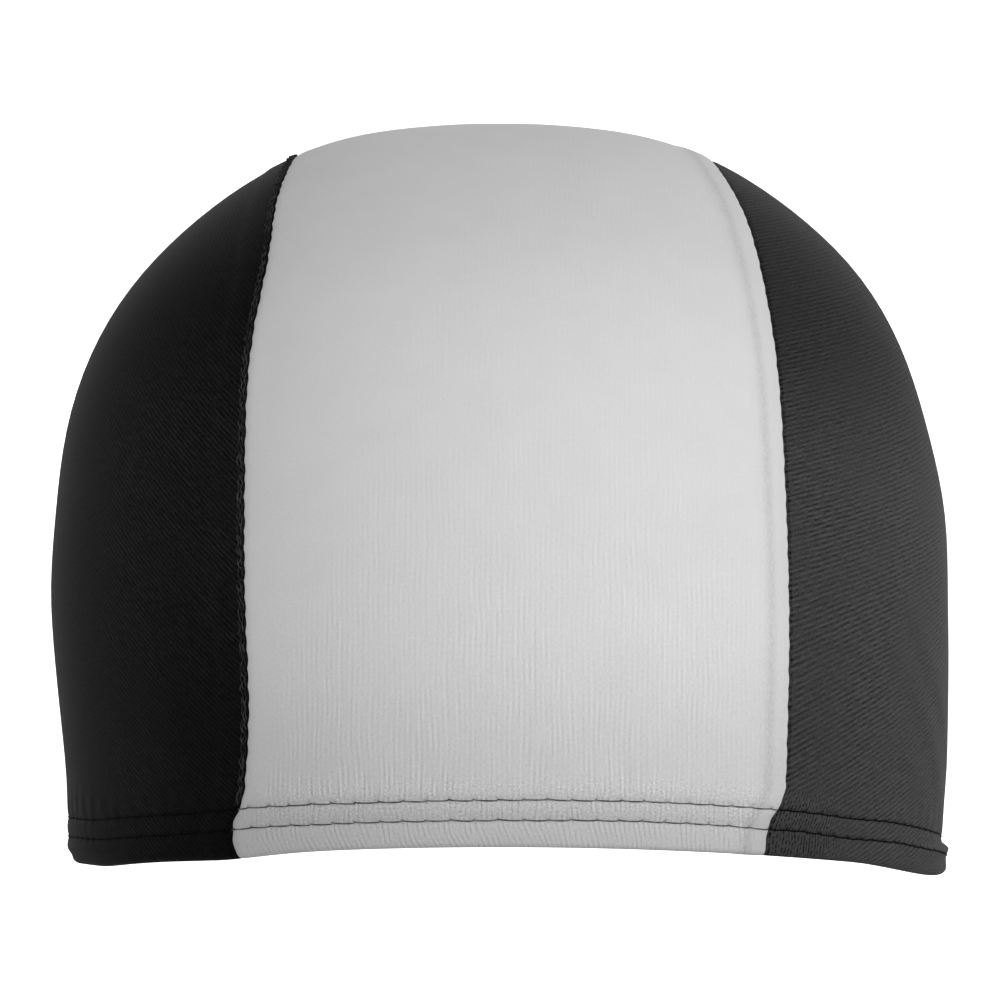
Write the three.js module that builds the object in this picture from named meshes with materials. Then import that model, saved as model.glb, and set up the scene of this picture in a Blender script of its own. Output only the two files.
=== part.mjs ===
// A three-panel fabric swim cap with the form that it has on a head, in millimetres.
// A pale centre strip runs from the brow over the crown to the nape, between two dark side panels.
// Each panel is one sheet of cloth whose lower edge is turned up inside as the hem, and each seam has its
// seam allowance inside the cap.
// +Z is up and -Y is the front. Left (-X) and right (+X) are as seen from the front. The origin is the
// centre of the head opening, at the level of the hem's lowest point on the left.

import * as THREE from "three";

// Form of the cap
const capWidth = 159.4; // outside, across the two sides where the cap is widest
const frontDepth = 95; // from the origin forwards to the brow
const backDepth = 99; // from the origin back to the back of the head
const capHeight = 132; // from the origin up to the top of the crown
const widestHeight = 48; // height at which the cap is widest
const planFullness = 0.015; // how much fuller than an ellipse the cap is, seen from above

// Hem
const browRise = 8.1; // how far the hem's edge arches up over the brow
const napeRise = 8.1; // and over the nape
const rightDip = 1.2; // how far the hem's edge dips on the right-hand side
const leftRise = 0.8; // how far it stands up on the left-hand side
const hemDepth = 9.5; // from the hem's folded edge to the raw edge turned up inside
const hemZone = 1.25 * hemDepth; // height of the wall, from the folded edge, that follows that edge's line
const foldGap = 0.3; // free space between the hem's two layers
const rightFlare = 0.8; // how far the folded edge stands out on the right-hand side
const leftTuck = 0.9; // how far it draws in on the left-hand side

// Cloth and seams
const clothThickness = 1;
const stripWidth = 88; // nominal width of the centre panel
const seamGap = 0.3; // free space between two sewn pieces
const grooveDepth = 0.5; // how far the cloth dips into a seam
const grooveWidth = 2.2; // how far from the seam the dip starts
const allowanceWidth = 6; // width of the seam allowance
const allowanceThickness = 1.2;
const ridgeHeight = 0.5; // how far the seam allowance lifts the cloth that lies over it
const ridgeFade = 2; // width over which the lifted cloth comes down again

// Facets
const stripFacets = 9; // across the centre panel, between the facets along its seams
const runFacets = 22; // from the front hem to the back hem
const flankFacets = 10; // of a side panel's hem, at each end, between the seam's facets and the middle
const flankShare = 0.22; // of a side panel's hem, that each flank takes
const foldFacets = 4; // round the hem's fold

// The outline's reach from its widest level, as shares of an ellipsoid's. Elevation is in degrees above
// that level, measured in the ellipsoid made round.
const outlineRows = [
  { elevation: -40, left: 1.245, right: 1.27, front: 1.14, back: 1.05 },
  { elevation: -34, left: 1.164, right: 1.188, front: 1.086, back: 1.022 },
  { elevation: -28, left: 1.091, right: 1.117, front: 1.044, back: 1.003 },
  { elevation: -21, left: 1.036, right: 1.067, front: 1.023, back: 0.993 },
  { elevation: -14, left: 1.01, right: 1.031, front: 1.013, back: 0.993 },
  { elevation: -7, left: 1, right: 1.009, front: 1.003, back: 0.998 },
  { elevation: 0, left: 1, right: 1, front: 1, back: 1 },
  { elevation: 10, left: 1.005, right: 1.008, front: 1.008, back: 1.014 },
  { elevation: 20, left: 1.027, right: 1.017, front: 1.02, back: 1.031 },
  { elevation: 30, left: 1.045, right: 1.037, front: 1.028, back: 1.04 },
  { elevation: 40, left: 1.05, right: 1.049, front: 1.03, back: 1.04 },
  { elevation: 50, left: 1.047, right: 1.045, front: 1.022, back: 1.028 },
  { elevation: 60, left: 1.041, right: 1.039, front: 1.012, back: 1.016 },
  { elevation: 70, left: 1.028, right: 1.027, front: 1.004, back: 1.007 },
  { elevation: 80, left: 1.008, right: 1.008, front: 1, back: 1.002 },
  { elevation: 90, left: 1, right: 1, front: 1, back: 1 },
];

// Where the two seams run above the hem zone: run goes from 0 at the front to 1 at the back, and left and
// right are the seams' distances from the middle plane, as shares of half of the strip's width.
const seamRows = [
  { run: 0, left: 0.959, right: 1.078 },
  { run: 0.04, left: 0.941, right: 1.083 },
  { run: 0.09, left: 0.95, right: 1.087 },
  { run: 0.18, left: 0.957, right: 1.073 },
  { run: 0.26, left: 0.937, right: 1.046 },
  { run: 0.31, left: 0.892, right: 1.008 },
  { run: 0.37, left: 0.873, right: 0.953 },
  { run: 0.41, left: 0.85, right: 0.901 },
  { run: 0.455, left: 0.825, right: 0.855 },
  { run: 0.5, left: 0.816, right: 0.844 },
  { run: 0.6, left: 0.859, right: 0.878 },
  { run: 0.7, left: 0.927, right: 0.939 },
  { run: 0.8, left: 0.962, right: 0.98 },
  { run: 0.9, left: 0.963, right: 0.993 },
  { run: 1, left: 0.959, right: 1.078 },
];

// The same within the hem zone, where the hem's stitching shifts the seams. Height is a share of the zone's.
const hemSeamRows = [
  { height: 0, left: 0.984, right: 1 },
  { height: 0.2, left: 1.006, right: 1.002 },
  { height: 0.35, left: 1.007, right: 1.009 },
  { height: 0.5, left: 1.006, right: 1.02 },
  { height: 0.65, left: 0.989, right: 1.043 },
  { height: 0.8, left: 0.973, right: 1.063 },
  { height: 1, left: 0.959, right: 1.078 },
];

const LEFT = -1;
const RIGHT = 1;
const degree = Math.PI / 180;
const mix = (a, b, share) => a + (b - a) * share;
const smooth = (from, to, at) => THREE.MathUtils.smoothstep(at, from, to);

// A natural cubic spline through one column of a table.
function spline(rows, key, column) {
  const at = rows.map((row) => row[key]);
  const value = rows.map((row) => row[column]);
  const bend = at.map(() => 0);
  const carry = at.map(() => 0);
  for (let i = 1; i < at.length - 1; i++) {
    const before = at[i] - at[i - 1];
    const after = at[i + 1] - at[i];
    const slopes = (value[i + 1] - value[i]) / after - (value[i] - value[i - 1]) / before;
    const pivot = 2 * (before + after) - before * carry[i - 1];
    carry[i] = after / pivot;
    bend[i] = (6 * slopes - before * bend[i - 1]) / pivot;
  }
  for (let i = at.length - 2; i > 0; i--) bend[i] -= carry[i] * bend[i + 1];
  return (wanted) => {
    let i = 1;
    while (i < at.length - 1 && wanted > at[i]) i++;
    const span = at[i] - at[i - 1];
    const b = (wanted - at[i - 1]) / span;
    const a = 1 - b;
    const curve = ((a ** 3 - a) * bend[i - 1] + (b ** 3 - b) * bend[i]) * span ** 2;
    return a * value[i - 1] + b * value[i] + curve / 6;
  };
}

const outline = {};
for (const column of ["left", "right", "front", "back"])
  outline[column] = spline(outlineRows, "elevation", column);
const seamRun = {};
const seamHem = {};
for (const column of ["left", "right"]) {
  seamRun[column] = spline(seamRows, "run", column);
  seamHem[column] = spline(hemSeamRows, "height", column);
}

// The share of an ellipsoid's reach that the cap has in a direction of the ellipsoid made round.
function reachShare(unit) {
  const elevation = Math.asin(THREE.MathUtils.clamp(unit.z, -1, 1)) / degree;
  const flat = unit.x ** 2 + unit.y ** 2;
  const sideways = flat > 0 ? unit.x ** 2 / flat : 0;
  const side = outline[unit.x < 0 ? "left" : "right"](elevation);
  const fore = outline[unit.y < 0 ? "front" : "back"](elevation);
  const full = 1 + planFullness * 4 * sideways * (1 - sideways) * flat;
  return mix(fore, side, sideways) * full;
}

// Half sizes of the ellipsoid, on the side of the origin where y lies.
function halfSizes(y) {
  return new THREE.Vector3(
    capWidth / 2,
    y < 0 ? frontDepth : backDepth,
    capHeight - widestHeight,
  );
}

// The cap's smooth outer surface in a direction of the ellipsoid made round.
function domePoint(unit) {
  const point = unit.clone().multiply(halfSizes(unit.y)).multiplyScalar(reachShare(unit));
  point.z += widestHeight;
  return point;
}

function unitDirection(point) {
  const centred = new THREE.Vector3(point.x, point.y, point.z - widestHeight);
  return centred.divide(halfSizes(point.y));
}

function outsideness(point) {
  const scaled = unitDirection(point);
  const reach = scaled.length();
  return reach - reachShare(scaled.divideScalar(reach));
}

function normalAt(point) {
  const step = 0.05;
  const slope = (x, y, z) =>
    outsideness(new THREE.Vector3(point.x + x, point.y + y, point.z + z)) -
    outsideness(new THREE.Vector3(point.x - x, point.y - y, point.z - z));
  return new THREE.Vector3(slope(step, 0, 0), slope(0, step, 0), slope(0, 0, step)).normalize();
}

// The height of the hem's folded edge below or above a point of the wall.
function edgeHeight(point) {
  const sideways = point.x ** 2 / (point.x ** 2 + point.y ** 2);
  const rise = (point.y < 0 ? browRise : napeRise) * (1 - sideways);
  if (point.x > 0) return rise - rightDip * smooth(0.5, 0.93, sideways);
  return rise + leftRise * smooth(0.7, 0.95, sideways);
}

// The point of a path up the wall that lies at a height above the folded edge.
function climb(path, low, high, height) {
  let [from, to] = [low, high];
  for (let pass = 0; pass < 40; pass++) {
    const middle = (from + to) / 2;
    const point = path(middle);
    if (point.z - edgeHeight(point) < height) from = middle;
    else to = middle;
  }
  return (from + to) / 2;
}

// The direction turned by turn about the X axis, from the front upwards, and leaning by lean to +X.
function turned(turn, lean) {
  return new THREE.Vector3(
    Math.sin(lean),
    -Math.cos(lean) * Math.cos(turn),
    Math.cos(lean) * Math.sin(turn),
  );
}

// The surface's point at a turn about the X axis and at a given x.
function stripPoint(x, turn) {
  let lean = 0;
  for (let pass = 0; pass < 12; pass++) {
    const reach = (capWidth / 2) * reachShare(turned(turn, lean));
    lean = Math.asin(THREE.MathUtils.clamp(x / reach, -1, 1));
  }
  return domePoint(turned(turn, lean));
}

const FRONT_CLIMB = [-70 * degree, 30 * degree];
const BACK_CLIMB = [250 * degree, 150 * degree];

// A row of the cap is either a height in the hem zone, at the front or the back, or a run above it.
const hemRow = (height, back) => ({ height, back });
const bodyRow = (run) => ({ run });

function turnOfRow(x, row) {
  const path = (turn) => stripPoint(x, turn);
  if (row.run === undefined)
    return climb(path, ...(row.back ? BACK_CLIMB : FRONT_CLIMB), row.height);
  const from = climb(path, ...FRONT_CLIMB, hemZone);
  const to = climb(path, ...BACK_CLIMB, hemZone);
  return mix(from, to, row.run);
}

function seamX(side, row) {
  const column = side === LEFT ? "left" : "right";
  const share =
    row.run === undefined
      ? seamHem[column](row.height / hemZone)
      : seamRun[column](row.run);
  return (side * share * stripWidth) / 2;
}

// The x of a point in a row of the cap, at a distance from a seam along the surface. Out is 1 on the side
// panel's side of the seam and -1 on the centre panel's.
function besideX(side, row, distance, out) {
  const x = seamX(side, row);
  const nudge = 0.1;
  const start = stripPoint(x, turnOfRow(x, row));
  const next = stripPoint(x + nudge, turnOfRow(x + nudge, row));
  return x + (side * out * distance * nudge) / start.distanceTo(next);
}

function besideSeam(side, row, distance, out) {
  const x = besideX(side, row, distance, out);
  return stripPoint(x, turnOfRow(x, row));
}

// How far the cloth stands out from the smooth surface at a distance from its edge along a seam.
function seamLift(distance, overAllowance) {
  const groove = -grooveDepth * (1 - smooth(0, grooveWidth, distance));
  const ridge = ridgeHeight * (1 - smooth(allowanceWidth, allowanceWidth + ridgeFade, distance));
  return overAllowance ? groove + ridge : groove;
}

// Distances of the facets' lines from the cloth's edge along a seam.
function seamSteps(overAllowance) {
  const steps = [0, grooveWidth / 3, grooveWidth];
  return overAllowance ? [...steps, allowanceWidth, allowanceWidth + ridgeFade] : steps;
}

// How far the folded edge stands out on the right-hand side, or draws in on the left.
function edgeFlare(point, height) {
  const sideways = point.x ** 2 / (point.x ** 2 + point.y ** 2);
  const most = point.x > 0 ? rightFlare : -leftTuck;
  return most * smooth(0.55, 0.9, sideways) * (1 - smooth(0.15, 0.45, height / hemZone));
}

// The sheet's rows through the hem, from the raw edge inside, round the fold and up the outside wall. Each has
// the height and the depth, below the cap's smooth surface, of the sheet's two faces.
function hemSections() {
  const outerRadius = clothThickness + foldGap / 2;
  const innerRadius = foldGap / 2;
  const layer = (height, outerDepth, innerDepth) => ({
    outer: { height, depth: outerDepth },
    inner: { height, depth: innerDepth },
  });
  const turnedUp = [2 * outerRadius, outerRadius + innerRadius];
  const sections = [layer(hemDepth, ...turnedUp), layer(hemDepth / 2, ...turnedUp)];
  for (let i = foldFacets; i >= 0; i--) {
    const angle = (i / foldFacets) * Math.PI;
    const onFold = (radius) => ({
      height: outerRadius - radius * Math.sin(angle),
      depth: outerRadius - radius * Math.cos(angle),
    });
    sections.push({ outer: onFold(outerRadius), inner: onFold(innerRadius) });
  }
  for (const height of [hemDepth / 2, hemDepth, hemZone])
    sections.push(layer(height, 0, clothThickness));
  return sections;
}

// A point moved inwards from the smooth surface.
function sunk(point, depth) {
  return point.clone().addScaledVector(normalAt(point), -depth);
}

// A closed sheet of cloth. Each point has its places on the sheet's outer and inner faces, and each cell is
// the numbers of four points, anticlockwise as seen from outside.
function clothSheet(points, cells) {
  const outer = points.map((point) => point.outer);
  const vertices = [...outer, ...points.map((point) => point.inner)];
  const insideOf = (corner) => corner + points.length;
  const indices = [];
  const edges = new Set();
  for (const [a, b, c, d] of cells) {
    const triangles =
      outer[a].distanceTo(outer[c]) < outer[b].distanceTo(outer[d])
        ? [[a, b, c], [a, c, d]]
        : [[a, b, d], [b, c, d]];
    for (const triangle of triangles) {
      indices.push(...triangle);
      indices.push(...triangle.map(insideOf).reverse());
    }
    for (const [from, to] of [[a, b], [b, c], [c, d], [d, a]]) edges.add(`${from} ${to}`);
  }
  for (const edge of edges) {
    const [from, to] = edge.split(" ").map(Number);
    if (edges.has(`${to} ${from}`)) continue;
    indices.push(from, insideOf(from), insideOf(to));
    indices.push(from, insideOf(to), to);
  }
  const geometry = new THREE.BufferGeometry();
  const numbers = vertices.flatMap((vertex) => vertex.toArray());
  geometry.setAttribute("position", new THREE.Float32BufferAttribute(numbers, 3));
  geometry.setIndex(indices);
  geometry.computeVertexNormals();
  return geometry;
}

// The cells of a grid that runs to the right, as seen from outside, along its rows and upwards over them.
function gridCells(rows, columns, numberAt) {
  const cells = [];
  for (let row = 0; row < rows - 1; row++)
    for (let column = 0; column < columns - 1; column++)
      cells.push([
        numberAt(row, column),
        numberAt(row, column + 1),
        numberAt(row + 1, column + 1),
        numberAt(row + 1, column),
      ]);
  return cells;
}

const turnedOver = (cells) => cells.map((cell) => [...cell].reverse());

// Which cloth covers the allowance of each seam.
const allowanceUnderCentre = { [LEFT]: false, [RIGHT]: true };

function centrePanel() {
  const steps = { [LEFT]: seamSteps(false), [RIGHT]: seamSteps(true) };
  const placesInRow = (row) => {
    const beside = (side) =>
      steps[side].map((step) => ({
        x: besideX(side, row, seamGap / 2 + step, -1),
        lift: seamLift(step, allowanceUnderCentre[side]),
      }));
    const left = beside(LEFT);
    const right = beside(RIGHT).reverse();
    const between = [];
    for (let i = 1; i < stripFacets; i++)
      between.push({ x: mix(left.at(-1).x, right[0].x, i / stripFacets), lift: 0 });
    return [...left, ...between, ...right];
  };
  const faceOfRow = (row, depth) =>
    placesInRow(row).map(({ x, lift }) => sunk(stripPoint(x, turnOfRow(x, row)), depth - lift));
  const points = [];
  let rows = 0;
  const addRow = (outerRow, outerDepth, innerRow, innerDepth) => {
    const outer = faceOfRow(outerRow, outerDepth);
    const inner = faceOfRow(innerRow, innerDepth);
    points.push(...outer.map((place, i) => ({ outer: place, inner: inner[i] })));
    rows++;
  };
  const addHem = (sections, back) => {
    for (const { outer, inner } of sections)
      addRow(hemRow(outer.height, back), outer.depth, hemRow(inner.height, back), inner.depth);
  };
  addHem(hemSections(), false);
  for (let i = 1; i < runFacets; i++) {
    const row = bodyRow(i / runFacets);
    addRow(row, 0, row, clothThickness);
  }
  addHem(hemSections().reverse(), true);
  const columns = points.length / rows;
  return clothSheet(points, gridCells(rows, columns, (row, column) => row * columns + column));
}

// A side panel's flat map: a direction's angle from the X axis is its distance from the map's middle.
function toMap(point) {
  const unit = unitDirection(point).normalize();
  const angle = Math.acos(Math.abs(unit.x));
  const round = Math.atan2(unit.z, unit.y);
  return new THREE.Vector2(angle * Math.cos(round), angle * Math.sin(round));
}

function fromMap(place, side) {
  const angle = place.length();
  const round = Math.atan2(place.y, place.x);
  return domePoint(
    new THREE.Vector3(
      side * Math.cos(angle),
      Math.sin(angle) * Math.cos(round),
      Math.sin(angle) * Math.sin(round),
    ),
  );
}

// A side panel is a grid that fans out from the middle of the hem zone's top to the seam, over the grid of
// the hem zone. Columns of the hem zone lie at fixed distances from each seam, then evenly over each flank,
// then evenly over the middle, from which the fan rises.
function sidePanel(side) {
  const overAllowance = !allowanceUnderCentre[side];
  const steps = seamSteps(overAllowance);
  const beside = (row, step) => besideSeam(side, row, seamGap / 2 + step, 1);
  const bearingOf = (point) => Math.atan2(side * point.x, -point.y);

  // A point of the wall, round the cap at a bearing from the front and at a height above the folded edge.
  const wallPoint = (bearing, height) => {
    const across = (side * Math.sin(bearing) * 2) / capWidth;
    const deep = -Math.cos(bearing) / (Math.cos(bearing) > 0 ? frontDepth : backDepth);
    const flat = Math.hypot(across, deep);
    const path = (elevation) =>
      domePoint(
        new THREE.Vector3(
          (across / flat) * Math.cos(elevation),
          (deep / flat) * Math.cos(elevation),
          Math.sin(elevation),
        ),
      );
    return path(climb(path, ...FRONT_CLIMB, height));
  };

  // One row of smooth points through the hem zone, from the front seam to the back seam.
  const hemPoints = (height) => {
    const front = steps.map((step) => beside(hemRow(height, false), step));
    const back = steps.map((step) => beside(hemRow(height, true), step)).reverse();
    const [from, to] = [bearingOf(front.at(-1)), bearingOf(back[0])];
    const shares = [];
    for (let i = 1; i <= flankFacets; i++) shares.push((flankShare * i) / flankFacets);
    for (let i = 1; i < runFacets; i++) shares.push(mix(flankShare, 1 - flankShare, i / runFacets));
    for (let i = flankFacets; i > 0; i--) shares.push(1 - (flankShare * i) / flankFacets);
    return [...front, ...shares.map((share) => wallPoint(mix(from, to, share), height)), ...back];
  };

  const sections = hemSections();
  const top = hemPoints(hemZone);
  const columns = top.length;
  const liftOfColumn = (column) => {
    const step = steps[Math.min(column, columns - 1 - column)];
    return step === undefined ? 0 : seamLift(step, overAllowance);
  };
  const hemFace = ({ height, depth }) =>
    hemPoints(height).map((point, column) =>
      sunk(point, depth - liftOfColumn(column) - edgeFlare(point, height)),
    );
  const points = sections.flatMap((section) => {
    const inner = hemFace(section.inner);
    return hemFace(section.outer).map((outer, column) => ({ outer, inner: inner[column] }));
  });
  const topStart = (sections.length - 1) * columns;
  const hemCells = gridCells(sections.length, columns, (row, column) => row * columns + column);

  // The fan: along goes over the facets of the seam's run, and inward from the seam to the hem zone's top.
  const fanDepth = steps.length - 1 + flankFacets;
  const mapOfTop = top.map(toMap);
  const lastStep = steps.length - 1;
  const bodyPoint = (along, inward) => {
    const row = bodyRow(along / runFacets);
    if (inward <= lastStep) return beside(row, steps[inward]);
    const u = along / runFacets;
    const v = (inward - lastStep) / flankFacets;
    const place = new THREE.Vector2();
    place.addScaledVector(toMap(beside(row, steps[lastStep])), 1 - v);
    place.addScaledVector(mapOfTop[fanDepth + along], v);
    place.addScaledVector(mapOfTop[inward], 1 - u);
    place.addScaledVector(mapOfTop[columns - 1 - inward], u);
    place.addScaledVector(mapOfTop[lastStep], -(1 - u) * (1 - v));
    place.addScaledVector(mapOfTop[columns - 1 - lastStep], -u * (1 - v));
    place.addScaledVector(mapOfTop[fanDepth], -(1 - u) * v);
    place.addScaledVector(mapOfTop[columns - 1 - fanDepth], -u * v);
    return fromMap(place, side);
  };
  const fanStart = points.length;
  for (let along = 1; along < runFacets; along++)
    for (let inward = 0; inward < fanDepth; inward++) {
      const point = bodyPoint(along, inward);
      const lift = inward <= lastStep ? seamLift(steps[inward], overAllowance) : 0;
      points.push({ outer: sunk(point, -lift), inner: sunk(point, clothThickness - lift) });
    }
  const fanNumber = (along, inward) => {
    if (along === 0) return topStart + inward;
    if (along === runFacets) return topStart + columns - 1 - inward;
    if (inward === fanDepth) return topStart + fanDepth + along;
    return fanStart + (along - 1) * fanDepth + inward;
  };
  const fanCells = gridCells(runFacets + 1, fanDepth + 1, fanNumber);
  const cells = [...hemCells, ...fanCells];
  return clothSheet(points, side === RIGHT ? cells : turnedOver(cells));
}

// The strip of a seam allowance, from just above the front hem's raw edge to just above the back hem's.
function seamAllowance(side) {
  const out = allowanceUnderCentre[side] ? -1 : 1;
  const lowest = hemDepth + 3 * seamGap;
  const rows = [hemRow(lowest, false), hemRow(hemZone, false)];
  for (let i = 1; i < runFacets; i++) rows.push(bodyRow(i / runFacets));
  rows.push(hemRow(hemZone, true), hemRow(lowest, true));
  const steps = seamSteps(true).filter((step) => step <= allowanceWidth);
  const place = (row, step, depth) =>
    sunk(besideSeam(side, row, seamGap / 2 + step, out), depth - seamLift(step, true));
  const upper = clothThickness + seamGap;
  const points = rows.flatMap((row) =>
    steps.map((step) => ({
      outer: place(row, step, upper),
      inner: place(row, step, upper + allowanceThickness),
    })),
  );
  const columns = steps.length;
  const cells = gridCells(rows.length, columns, (row, column) => row * columns + column);
  return clothSheet(points, side * out > 0 ? cells : turnedOver(cells));
}

const paleKnit = new THREE.MeshStandardMaterial({ color: 0xd2d2d2, roughness: 0.75, metalness: 0 });
const blackKnit = new THREE.MeshStandardMaterial({ color: 0x1c1c1c, roughness: 0.7, metalness: 0 });
const charcoalKnit = new THREE.MeshStandardMaterial({ color: 0x383838, roughness: 0.7, metalness: 0 });
const overlockThread = new THREE.MeshStandardMaterial({ color: 0x2a2a2a, roughness: 0.85, metalness: 0 });

const cap = new THREE.Group();
function add(name, geometry, material) {
  const mesh = new THREE.Mesh(geometry, material);
  mesh.name = name;
  cap.add(mesh);
}

add("centre_panel", centrePanel(), paleKnit);
add("left_panel", sidePanel(LEFT), blackKnit);
add("right_panel", sidePanel(RIGHT), charcoalKnit);
add("left_seam_allowance", seamAllowance(LEFT), overlockThread);
add("right_seam_allowance", seamAllowance(RIGHT), overlockThread);

export default cap;
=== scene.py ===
"""A fabric swim cap with a pale centre panel between two dark side panels, shown as it is worn.

Lengths are in millimetres up to the meshes, which are in metres. The front faces -Y and +Z is up.
"""

from math import pi, radians

import bpy
import numpy as np
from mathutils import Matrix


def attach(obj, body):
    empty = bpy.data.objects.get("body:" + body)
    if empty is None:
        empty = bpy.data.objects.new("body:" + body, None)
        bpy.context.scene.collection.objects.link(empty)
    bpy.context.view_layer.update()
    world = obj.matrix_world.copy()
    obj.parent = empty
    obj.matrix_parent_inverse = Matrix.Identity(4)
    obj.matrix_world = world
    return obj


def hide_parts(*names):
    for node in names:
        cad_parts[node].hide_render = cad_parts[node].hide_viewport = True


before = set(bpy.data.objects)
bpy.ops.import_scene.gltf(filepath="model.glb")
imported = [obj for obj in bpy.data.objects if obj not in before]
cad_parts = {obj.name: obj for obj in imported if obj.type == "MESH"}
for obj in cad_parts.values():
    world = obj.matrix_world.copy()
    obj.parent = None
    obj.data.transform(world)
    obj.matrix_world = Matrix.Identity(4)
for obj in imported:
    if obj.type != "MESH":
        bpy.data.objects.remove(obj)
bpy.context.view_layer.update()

# Form of the cap
CAP_WIDTH = 159.4
FRONT_DEPTH = 95.0
BACK_DEPTH = 99.0
CAP_HEIGHT = 132.0
WIDEST_HEIGHT = 48.0
PLAN_FULLNESS = 0.015
BROW_RISE = 8.1
NAPE_RISE = 8.1
RIGHT_DIP = 1.2
LEFT_RISE = 0.8
HEM_DEPTH = 9.5
HEM_ZONE = 1.25 * HEM_DEPTH
FOLD_GAP = 0.3
RIGHT_FLARE = 0.8
LEFT_TUCK = 0.9

# Cloth and seams
CLOTH = 1.0
STRIP_WIDTH = 88.0
SEAM_GAP = 0.12
ALLOWANCE_WIDTH = 4.8
ALLOWANCE_THICKNESS = 1.1
ALLOWANCE_CLEARANCE = 0.25
GROOVE_DEPTH = 0.18
GROOVE_WIDTH = 1.5
RIDGE_HEIGHT = 0.24

# Stitching of the hem
LOWER_ROW = 4.65
UPPER_ROW = 8.0
STITCH = 4.0
SEAM_STITCH = 3.5

# Elevation in degrees, then the outline's reach at the left, right, front and back
OUTLINE_ROWS = np.array([
    [-40, 1.245, 1.27, 1.14, 1.05],
    [-34, 1.164, 1.188, 1.086, 1.022],
    [-28, 1.091, 1.117, 1.044, 1.003],
    [-21, 1.036, 1.067, 1.023, 0.993],
    [-14, 1.01, 1.031, 1.013, 0.993],
    [-7, 1.0, 1.009, 1.003, 0.998],
    [0, 1.0, 1.0, 1.0, 1.0],
    [10, 1.005, 1.008, 1.008, 1.014],
    [20, 1.027, 1.017, 1.02, 1.031],
    [30, 1.045, 1.037, 1.028, 1.04],
    [40, 1.05, 1.049, 1.03, 1.04],
    [50, 1.047, 1.045, 1.022, 1.028],
    [60, 1.041, 1.039, 1.012, 1.016],
    [70, 1.028, 1.027, 1.004, 1.007],
    [80, 1.008, 1.008, 1.0, 1.002],
    [90, 1.0, 1.0, 1.0, 1.0],
])

# Share of the run from front to back, then the left and right seams' distances from the middle plane
SEAM_ROWS = np.array([
    [0, 0.959, 1.078],
    [0.04, 0.941, 1.083],
    [0.09, 0.95, 1.087],
    [0.18, 0.957, 1.073],
    [0.26, 0.937, 1.046],
    [0.31, 0.892, 1.008],
    [0.37, 0.873, 0.953],
    [0.41, 0.85, 0.901],
    [0.455, 0.825, 0.855],
    [0.5, 0.816, 0.844],
    [0.6, 0.859, 0.878],
    [0.7, 0.927, 0.939],
    [0.8, 0.962, 0.98],
    [0.9, 0.963, 0.993],
    [1, 0.959, 1.078],
])

# Share of the hem zone's height, then the same distances
HEM_SEAM_ROWS = np.array([
    [0, 0.984, 1.0],
    [0.2, 1.006, 1.002],
    [0.35, 1.007, 1.009],
    [0.5, 1.006, 1.02],
    [0.65, 0.989, 1.043],
    [0.8, 0.973, 1.063],
    [1, 0.959, 1.078],
])

# Distance given to points that no seam's relief reaches
FAR_FROM_SEAM = 20.0

# Distance round the wall from the middle of the front to a seam, and the dome's mean radius
FRONT_TO_SEAM = 47
DOME_RADIUS = 86

LEFT = -1
RIGHT = 1
FRONT_HEM, BODY, BACK_HEM = "front_hem", "body", "back_hem"


def smooth(low, high, at):
    share = np.clip((at - low) / (high - low), 0, 1)
    return share * share * (3 - 2 * share)


def bell(at, width):
    return np.exp(-((at / width) ** 2))


def spline(at, value):
    """A natural cubic spline."""
    count = len(at)
    gap = np.diff(at)
    matrix = np.eye(count)
    target = np.zeros(count)
    for i in range(1, count - 1):
        matrix[i, i - 1 : i + 2] = gap[i - 1], 2 * (gap[i - 1] + gap[i]), gap[i]
        target[i] = 6 * ((value[i + 1] - value[i]) / gap[i] - (value[i] - value[i - 1]) / gap[i - 1])
    bend = np.linalg.solve(matrix, target)

    def curve(wanted):
        i = np.clip(np.searchsorted(at, wanted), 1, count - 1)
        span = at[i] - at[i - 1]
        b = (wanted - at[i - 1]) / span
        a = 1 - b
        cubic = ((a**3 - a) * bend[i - 1] + (b**3 - b) * bend[i]) * span**2 / 6
        return a * value[i - 1] + b * value[i] + cubic

    return curve


OUTLINE = [spline(OUTLINE_ROWS[:, 0], OUTLINE_ROWS[:, k]) for k in range(1, 5)]
SEAM_OVER_RUN = {side: spline(SEAM_ROWS[:, 0], SEAM_ROWS[:, k]) for side, k in ((LEFT, 1), (RIGHT, 2))}
SEAM_IN_HEM = {
    side: spline(HEM_SEAM_ROWS[:, 0], HEM_SEAM_ROWS[:, k]) for side, k in ((LEFT, 1), (RIGHT, 2))
}


def reach_share(unit):
    elevation = np.degrees(np.arcsin(np.clip(unit[..., 2], -1, 1)))
    flat = unit[..., 0] ** 2 + unit[..., 1] ** 2
    sideways = unit[..., 0] ** 2 / np.maximum(flat, 1e-12)
    left, right, front, back = (column(elevation) for column in OUTLINE)
    side = np.where(unit[..., 0] < 0, left, right)
    fore = np.where(unit[..., 1] < 0, front, back)
    full = 1 + PLAN_FULLNESS * 4 * sideways * (1 - sideways) * flat
    return (fore + (side - fore) * sideways) * full


def half_sizes(y):
    depth = np.where(y < 0, FRONT_DEPTH, BACK_DEPTH)
    return np.stack(
        [np.full_like(depth, CAP_WIDTH / 2), depth, np.full_like(depth, CAP_HEIGHT - WIDEST_HEIGHT)], -1
    )


def dome(unit):
    point = unit * half_sizes(unit[..., 1]) * reach_share(unit)[..., None]
    point[..., 2] += WIDEST_HEIGHT
    return point


def unit_of(point):
    centred = point - np.array([0, 0, WIDEST_HEIGHT])
    unit = centred / half_sizes(point[..., 1])
    return unit / np.linalg.norm(unit, axis=-1, keepdims=True)


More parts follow.
